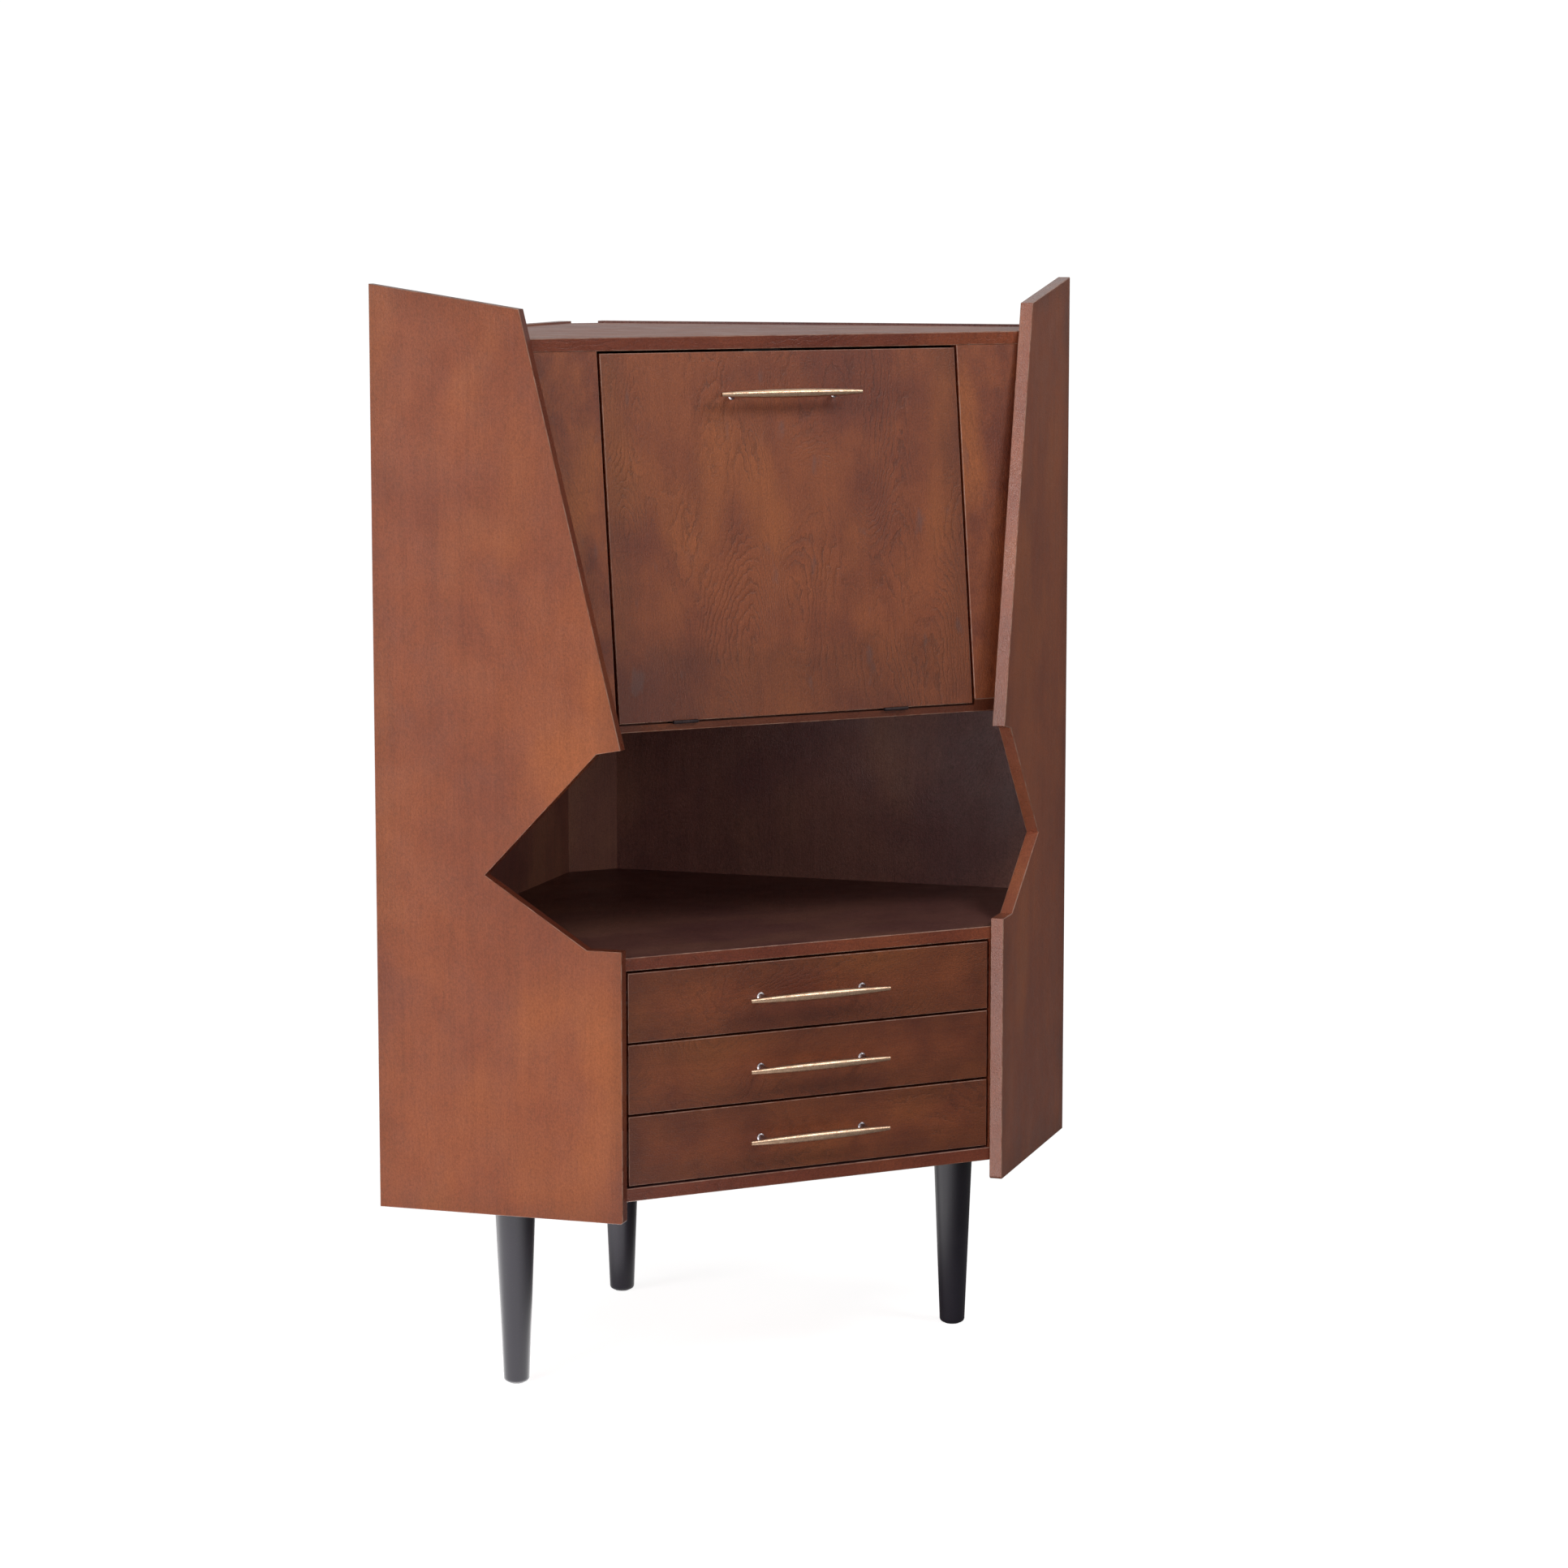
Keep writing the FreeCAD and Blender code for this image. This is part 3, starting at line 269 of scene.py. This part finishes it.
def make_floor():
    """Pale floor that keeps the shadow near the object and fades to the white backdrop."""
    mesh = bpy.data.meshes.new("Floor")
    corners = [(x * FLOOR_HALF, y * FLOOR_HALF, 0) for x, y in ((-1, -1), (1, -1), (1, 1), (-1, 1))]
    mesh.from_pydata(corners, [], [(0, 1, 2, 3)])
    floor = link("Floor", mesh)
    material = bpy.data.materials.new("PaleFloor")
    material.use_nodes = True
    nodes = Nodes(material.node_tree)
    place = nodes.coords.outputs["Object"]
    radius = nodes.vector("LENGTH", place)
    side = nodes.times(wall_level(nodes, place), nodes.ramp(radius, *FLOOR_SHINE))
    ahead = nodes.ramp(nodes.vector("DOT_PRODUCT", place, TO_FRONT), *FLOOR_AHEAD)
    diffuse = nodes.node("ShaderNodeBsdfDiffuse")
    nodes.put(diffuse.inputs["Color"], FLOOR_GREY)
    glow = nodes.node("ShaderNodeEmission")
    level = level_by_ray(nodes, nodes.ramp(radius, *FLOOR_LIFT), nodes.plus(side, ahead))
    nodes.put(glow.inputs["Strength"], level)
    nodes.output("ShaderNodeOutputMaterial", diffuse, glow)
    mesh.materials.append(material)


# ---------------------------------------------------------------- stained veneer

# Rotations that bring a board into its own frame: x across the grain, y through the board and
# z along the grain.
UPRIGHT = (0, 0, 0)
RIGHT_SIDE = (0, 0, -EIGHTH)
LEFT_SIDE = (0, 0, EIGHTH)
FACE = (LEAN, 0, 0)
LEVEL = (-QUARTER, -QUARTER, 0)
FRONT = (0, QUARTER, 0)

# The stain where it lies thick, where it lies thin, and where the light wood glows through it.
DARK = (0.155, 0.0345, 0.0160)
LIGHT = (0.315, 0.0840, 0.0285)
GLOW = (0.415, 0.1200, 0.0340)
MARK = (0.165, 0.083, 0.072)    # small greyish marks in the stain
RUBBED_AND_HIGHLIT = (0.46, 0.26, 0.19)     # pale arrises: stain rubbed off, and a painted highlight where light catches them

BANDING = (0.95, 0.86, 1.05)    # tint of a board's edges
LEVEL_BANDING = (0.98, 0.88, 1.1)
RIM = 0.74                      # how bright a board stays at its edges, under toner and painted shade
GLOSS, HIGH_GLOSS = 0.32, 0.42

# Where the side panels lie in their own frames (the left one's middle is on the minus side), and
# half a drawer front's width, in metres.
SIDE_MIDDLE, SIDE_HALF_WIDTH = 0.1004, 0.1513
SIDE_LOW, SIDE_HIGH = 0.2186, 1.2446
DRAWER_HALF_WIDTH = 0.227


def stained(s, grain, contrast, blotch):
    """Sprayed stain lies unevenly, in soft clouds and a few warmer patches."""
    drawn_out = (1, 1, 0.8)
    big = s.noise(grain, 6.5, 2.0, 0.45, 0.3, scale=drawn_out)
    small = s.noise(grain, 26.0, 3.0, 0.6, scale=drawn_out)
    cloud = s.plus(s.times(big, 1 - blotch), s.times(small, blotch))
    cloud = s.ramp(cloud, 0.34, 0.66, 0.5 - contrast / 2, 0.5 + contrast / 2)
    warm = s.ramp(s.noise(grain, 9.0, 1.5, 0.4, scale=(1.2, 1, 0.55)), 0.50, 0.72)
    return s.mix(s.times(warm, 0.8 * contrast), s.mix(cloud, DARK, LIGHT), GLOW)


def growth_rings(s, grain, across):
    """Late and early wood of a rotary cut: contours that swirl, long along the grain, and fade in
    places."""
    swirl = s.noise(grain, 9.5, 1.0, 0.4, 0.5, scale=(1, 1, 0.34))
    waver = s.noise(grain, 110.0, 3.0, 0.6, scale=(1, 1, 0.5))
    contours = s.plus(s.times(swirl, 46.0), s.times(across, 20.0))
    rings = s.math("FRACT", s.plus(contours, s.times(waver, 2.0)))
    late = s.times(s.ramp(rings, 0.55, 0.90), s.ramp(rings, 1.0, 0.92))
    early = s.times(s.ramp(rings, 0.0, 0.10), s.ramp(rings, 0.35, 0.12))
    shown = s.ramp(s.noise(grain, 15.0, 3.0, 0.6, scale=(1, 1, 0.5)), 0.40, 0.62, 0.1, 1.0)
    return s.times(late, shown), s.times(early, shown)


def toner_and_shade_edges(s, colour, grain, across, along, edge, rim):
    """Darkens a board towards its edges, unevenly: partly toner, partly painted shade where it
    meets its neighbours.
    """
    (mid_across, half_across), (mid_along, half_along) = edge
    to_side = s.minus(half_across, s.math("ABSOLUTE", s.minus(across, mid_across)))
    to_end = s.minus(half_along, s.math("ABSOLUTE", s.minus(along, mid_along)))
    near = s.math("MINIMUM", to_side, to_end)
    uneven = s.times(s.noise(grain, 16.0, 2.0), 0.06)
    return s.dimmed(colour, s.ramp(s.minus(near, uneven), -0.028, 0.016, rim, 1.0))


def veneer(name, rotation, seed, contrast=0.5, figure=0.6, blotch=0.3, marks=0.0, edge=None,
           rim=RIM, tone=1.0, painted_shade=None, edge_tint=BANDING, gloss=GLOSS, open_grain=1.0):
    """Stained veneer under satin lacquer.

    contrast sets how uneven the stain is, blotch how much of that lies in small patches and marks
    how plainly its greyish marks show. figure sets how plainly the growth rings show, open_grain
    the pores. edge holds a board's middle and half sizes, across and along the grain; given it,
    the board darkens to rim at its edges, partly toner and partly painted shade. tone is the whole
    board's brightness and edge_tint the tint of its edge faces: their bands' own colour, with a
    painted sheen on some boards and painted shade on others. painted_shade names the side, 1 or -1
    through the board, that lies in the shade inside the cabinet, and the tint that paints that
    shade into its colour. gloss is the shader's specular level.
    """
    s = Surface(name)
    board = s.mapping(s.place, rotation)
    grain = s.vector("ADD", board, (seed * 3.17, seed * 1.31, seed * 2.23))
    across, _, along = s.split(board)
    facing = s.split(s.mapping(s.coords.outputs["Normal"], rotation))[1]
    flat_on = s.math("ABSOLUTE", facing)
    on_edge = s.ramp(flat_on, 0.25, 0.1)
    on_arris = s.times(s.ramp(flat_on, 0.05, 0.3), s.ramp(flat_on, 0.985, 0.9))

    late, early = growth_rings(s, grain, across)
    fibre = s.noise(grain, 800.0, 2.0, 0.6, scale=(1, 1, 0.06))
    streak = s.noise(grain, 120.0, 3.0, 0.6, scale=(1, 1, 0.025))
    broken = s.noise(grain, 620.0, 2.0, 0.8, scale=(1, 1, 0.7))
    pore = s.ramp(s.noise(grain, 1250.0, 1.0, scale=(1, 1, 0.22)), 0.56, 0.72)
    pore = s.times(pore, s.times(s.minus(1.0, on_edge), open_grain))

    # What darkens the stain, line by line.
    shade = s.minus(s.times(late, 0.27 * figure), s.times(early, 0.12 * figure))
    for field, amount in ((fibre, 0.30), (streak, 0.34), (broken, 1.1)):
        shade = s.plus(shade, s.times(s.minus(field, 0.5), amount))
    shade = s.plus(shade, s.times(pore, 0.14))
    level = s.times(s.minus(1.04 + 0.04 * figure, shade), tone)
    colour = s.dimmed(stained(s, grain, contrast, blotch), level)
    if marks:
        mark = s.ramp(s.noise(grain, 42.0, 2.0, 0.5, scale=(1, 1, 0.42)), 0.64, 0.76)
        colour = s.mix(s.times(mark, marks), colour, MARK)
    # Darker towards the edges: partly toner, partly painted shade where boards meet their
    # neighbours.
    if edge:
        colour = toner_and_shade_edges(s, colour, grain, across, along, edge, rim)
    # Painted shade: the board's side inside the cabinet gets a cooler, paler tint, as dim light
    # shows it there.
    if painted_shade:
        side, tint = painted_shade
        colour = s.mix(s.ramp(s.times(facing, side), 0.6, 0.9), colour, s.tinted(colour, tint))
    # Edge faces take a tint: their bands' own colour, with a painted sheen on the right side panel
    # and painted shade on the left one and the bar floor.
    colour = s.mix(on_edge, colour, s.tinted(colour, edge_tint))
    # Paler arrises: partly stain rubbed off, partly a painted highlight where light catches the
    # rounded arris.
    rub_and_highlight = s.ramp(s.noise(grain, 60.0, 3.0, 0.6), 0.38, 0.62, 0.25, 0.8)
    colour = s.mix(s.times(on_arris, rub_and_highlight), colour, RUBBED_AND_HIGHLIT)

    relief = s.minus(s.times(fibre, 0.5), s.times(pore, 0.4))
    relief = s.plus(relief, s.times(broken, 1.4))
    relief = s.minus(relief, s.times(late, 0.7 * figure))
    roughness = s.ramp(s.noise(grain, 30.0, 3.0), 0.3, 0.7, 0.38, 0.47)
    roughness = s.minus(roughness, s.times(on_edge, 0.14))
    return s.finish(Base_Color=colour, Roughness=roughness, Normal=s.bump(relief, 0.6, 0.0005),
                    Specular_IOR_Level=gloss, Coat_Weight=0.06, Coat_Roughness=0.25)


def camel(name):
    """A node's name as a material's name: top_panel becomes TopPanel."""
    return name.title().replace("_", "")


def dress_case():
    """The boards at the sides and the back, and the uprights beside the drawers."""
    along = ((SIDE_LOW + SIDE_HIGH) / 2, (SIDE_HIGH - SIDE_LOW) / 2)
    # Painted shade: the tints on the inner sides of the side panels, back boards and corner strip
    # paint the shade inside the cabinet.
    dress("left_side_panel", veneer(
        "LeftSide", LEFT_SIDE, 5.62, 0.5, 0.25, rim=0.84, tone=1.05, gloss=0.18, open_grain=0.4,
        painted_shade=(1, (1.1, 1.75, 4.0)), edge=((-SIDE_MIDDLE, SIDE_HALF_WIDTH), along),
        # painted shade on this panel's edges, which face away from the lamps
        edge_tint=(0.72, 0.70, 0.95)))
    dress("right_side_panel", veneer(
        "RightSide", RIGHT_SIDE, 7.39, 0.4, 0.25, gloss=HIGH_GLOSS, open_grain=0.4,
        painted_shade=(1, (0.8, 1.3, 3.0)), edge=((SIDE_MIDDLE, SIDE_HALF_WIDTH), along),
        # painted sheen on this panel's edges, a reflection of the lamps on the left
        edge_tint=(1.35, 1.65, 2.4)))
    dress("left_back_panel", veneer(
        "LeftBack", RIGHT_SIDE, 3.0, 0.6, 0.4, painted_shade=(-1, (1.15, 1.8, 3.6))))
    dress("right_back_panel", veneer(
        "RightBack", LEFT_SIDE, 6.31, 0.6, 0.4, painted_shade=(-1, (0.76, 1.2, 2.6))))
    dress("corner_strip", veneer("CornerStrip", UPRIGHT, 5.0, painted_shade=(-1, (1.2, 1.9, 3.3))))
    dress("drawer_case_sides", veneer("DrawerUprights", UPRIGHT, 13.0))


def dress_level_boards():
    boards = (
        # board, seed, its side in painted shade and that tint, tint of its edge faces
        ("top_panel", 9.0, None, LEVEL_BANDING),
        # the bar floor's edge tint paints shade on its front edge
        ("bar_floor", 10.0, (1, (0.80, 1.30, 3.2)), (0.62, 0.62, 0.75)),
        ("niche_floor", 11.0, (1, (0.62, 0.98, 2.2)), LEVEL_BANDING),
        ("base_panel", 12.0, (1, (0.80, 1.30, 3.2)), LEVEL_BANDING),
    )
    for board, seed, painted_shade, edge_tint in boards:
        dress(board, veneer(camel(board), LEVEL, seed, 0.5, 0.5, tone=0.85, painted_shade=painted_shade,
                            edge_tint=edge_tint))


def dress_fronts():
    """The door, the face panels beside it and the drawer fronts."""
    dress("left_face_panel", veneer(
        "LeftFace", FACE, 11.39, 1.0, 0.5, blotch=0.6, marks=0.4, gloss=HIGH_GLOSS))
    dress("right_face_panel", veneer(
        "RightFace", FACE, 9.31, 0.9, 0.5, blotch=0.5, marks=0.3, gloss=HIGH_GLOSS))
    low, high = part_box("door_panel")
    half_width, half_length = high[0], (high[2] - low[2]) / math.cos(LEAN) / 2
    middle = low[2] * math.cos(LEAN) - low[1] * math.sin(LEAN) + half_length
    dress("door_panel", veneer(
        "Door", FACE, 13.39, 0.85, 1.0, blotch=0.35, marks=0.5, tone=0.96, gloss=HIGH_GLOSS,
        edge=((0, half_width), (middle, half_length))))
    for drawer, seed in zip(DRAWERS, (14.0, 16.54, 21.39)):
        low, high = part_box(f"{drawer}_front")
        middle, half_height = (low[2] + high[2]) / 2, (high[2] - low[2]) / 2
        dress(f"{drawer}_front", veneer(
            camel(drawer) + "Front", FRONT, seed, 0.75, 0.7, blotch=0.4, tone=0.86, rim=0.70,
            edge=((middle, half_height), (0, DRAWER_HALF_WIDTH))))


# ---------------------------------------------------------------- unstained wood

def plain_wood(name, rotation, seed, dark, light, roughness=0.45):
    """Unstained wood of the drawer boxes and dowels."""
    s = Surface(name)
    grain = s.vector("ADD", s.mapping(s.place, rotation), (seed, seed * 0.7, seed * 1.9))
    drawn_out = (1, 1, 0.03)
    bands = s.noise(grain, 70.0, 4.0, 0.6, scale=drawn_out)
    fibre = s.noise(grain, 700.0, 3.0, 0.6, scale=drawn_out)
    cloud = s.noise(grain, 8.0, 2.0)
    mixed = s.plus(s.times(bands, 0.55), s.times(cloud, 0.45))
    colour = s.mix(s.ramp(mixed, 0.35, 0.65), dark, light)
    colour = s.dimmed(colour, s.ramp(fibre, 0.3, 0.7, 0.86, 1.04))
    return s.finish(Base_Color=colour,
                    Roughness=s.ramp(cloud, 0.3, 0.7, roughness, roughness + 0.1),
                    Normal=s.bump(fibre, 0.15, 0.0004))


def dress_drawer_boxes():
    along_x, along_y = (0, QUARTER, 0), (QUARTER, 0, 0)
    dark, light = (0.36, 0.225, 0.12), (0.52, 0.36, 0.205)
    sides = plain_wood("DrawerSideWood", along_y, 3.0, dark, light)
    back = plain_wood("DrawerBackWood", along_x, 5.0, dark, light)
    floor = plain_wood("DrawerFloorPly", along_x, 7.0, (0.42, 0.29, 0.16), (0.58, 0.42, 0.25),
                       roughness=0.55)
    for drawer in DRAWERS:
        dress(f"{drawer}_sides", sides)
        dress(f"{drawer}_back", back)
        dress(f"{drawer}_floor", floor)
    dress("carcass_dowels", plain_wood("BeechDowel", UPRIGHT, 9.0, (0.45, 0.28, 0.15),
                                       (0.60, 0.42, 0.25)))


# ---------------------------------------------------------------- lacquer, metal and plastic

def black_lacquer():
    """Black lacquer on the legs, with dust specks and a trace of the wood's fibres."""
    s = Surface("BlackLacquer")
    cloud = s.noise(s.place, 9.0, 3.0)
    fibre = s.noise(s.place, 420.0, 3.0, 0.6, scale=(1, 1, 0.05))
    speck = s.ramp(s.noise(s.place, 900.0, 1.0), 0.68, 0.74)
    colour = s.mix(s.ramp(cloud, 0.3, 0.7), (0.014, 0.0115, 0.0185), (0.021, 0.0175, 0.027))
    colour = s.mix(s.times(speck, 0.25), colour, (0.06, 0.055, 0.062))
    relief = s.plus(s.noise(s.place, 260.0, 2.0), s.times(fibre, 0.6))
    return s.finish(Base_Color=colour, Roughness=s.ramp(cloud, 0.3, 0.7, 0.34, 0.42),
                    Normal=s.bump(relief, 0.10, 0.0003), Specular_IOR_Level=0.27,
                    Coat_Weight=0.03, Coat_Roughness=0.3)


def antique_brass():
    """Brass with long brush strokes, fine cross strokes and brown patina."""
    s = Surface("AntiqueBrass")
    long_stroke = s.noise(s.place, 2400.0, 2.0, 0.6, scale=(0.05, 1, 1))
    cross_stroke = s.noise(s.place, 1900.0, 2.0, 0.6, scale=(1, 0.15, 0.15))
    patina = s.noise(s.place, 420.0, 3.0, 0.65, scale=(0.35, 1, 1))
    browned = s.times(s.ramp(patina, 0.40, 0.68), 0.6)
    colour = s.mix(browned, (0.57, 0.385, 0.265), (0.29, 0.17, 0.105))
    strokes = s.ramp(s.plus(long_stroke, cross_stroke), 0.75, 1.25, 0.74, 1.10)
    relief = s.plus(long_stroke, s.times(cross_stroke, 0.6))
    return s.finish(Base_Color=s.dimmed(colour, strokes), Metallic=1.0,
                    Roughness=s.ramp(patina, 0.3, 0.7, 0.26, 0.38),
                    Normal=s.bump(relief, 0.3, 0.00015))


def metal(name, bright, dull, roughness, grain=500.0):
    """Plated or bare metal with fine wear."""
    s = Surface(name)
    wear = s.noise(s.place, 45.0, 3.0, 0.6)
    fine = s.noise(s.place, grain, 2.0, scale=(0.3, 1, 1))
    return s.finish(Base_Color=s.mix(s.ramp(wear, 0.35, 0.7), bright, dull), Metallic=1.0,
                    Roughness=s.ramp(fine, 0.3, 0.7, roughness, roughness + 0.12),
                    Normal=s.bump(fine, 0.08, 0.0002))


def plastic(name, colour, roughness):
    """Moulded plastic with a fine grain."""
    s = Surface(name)
    grain = s.noise(s.place, 1100.0, 2.0)
    lighter = tuple(min(1.0, c * 1.6 + 0.01) for c in colour)
    mixed = s.mix(s.ramp(s.noise(s.place, 60.0, 3.0), 0.35, 0.7), colour, lighter)
    return s.finish(Base_Color=mixed,
                    Roughness=s.ramp(grain, 0.3, 0.7, roughness, roughness + 0.1),
                    Normal=s.bump(grain, 0.15, 0.0002))


def dress_hardware():
    handles = ("door", *DRAWERS)
    zinc_parts = (
        "leg_bolts", "hinge_door_screws", "hinge_floor_screws", "strike_plate",
        "stay_cabinet_brackets", "stay_door_brackets", "left_stay_arm", "right_stay_arm",
        "slide_channels", *(f"{drawer}_slide_rails" for drawer in DRAWERS),
        *(f"{handle}_handle_screws" for handle in handles))
    for material, nodes in (
            (antique_brass(), [f"{handle}_handle_bar" for handle in handles]),
            (metal("PolishedNickel", (0.46, 0.43, 0.44), (0.25, 0.23, 0.25), 0.20, 900.0),
             [f"{handle}_handle_posts" for handle in handles]),
            (metal("ZincSteel", (0.60, 0.61, 0.63), (0.44, 0.45, 0.47), 0.28), zinc_parts),
            (metal("DarkHinge", (0.040, 0.028, 0.028), (0.022, 0.016, 0.017), 0.5),
             ("hinge_door_leaves", "hinge_floor_leaves", "hinge_pins")),
            (plastic("BlackPlastic", (0.018, 0.018, 0.019), 0.5),
             ("magnetic_catch", "leg_glides")),
            (metal("DullSteel", (0.30, 0.30, 0.31), (0.17, 0.17, 0.18), 0.40),
             ("back_panel_screws",)),
            (black_lacquer(), ("left_leg", "right_leg", "rear_leg"))):
        for node in nodes:
            dress(node, material)


bpy.context.scene.view_settings.view_transform = "Standard"
make_camera()
make_lamps()
make_world()
make_floor()
dress_case()
dress_level_boards()
dress_fronts()
dress_drawer_boxes()
dress_hardware()
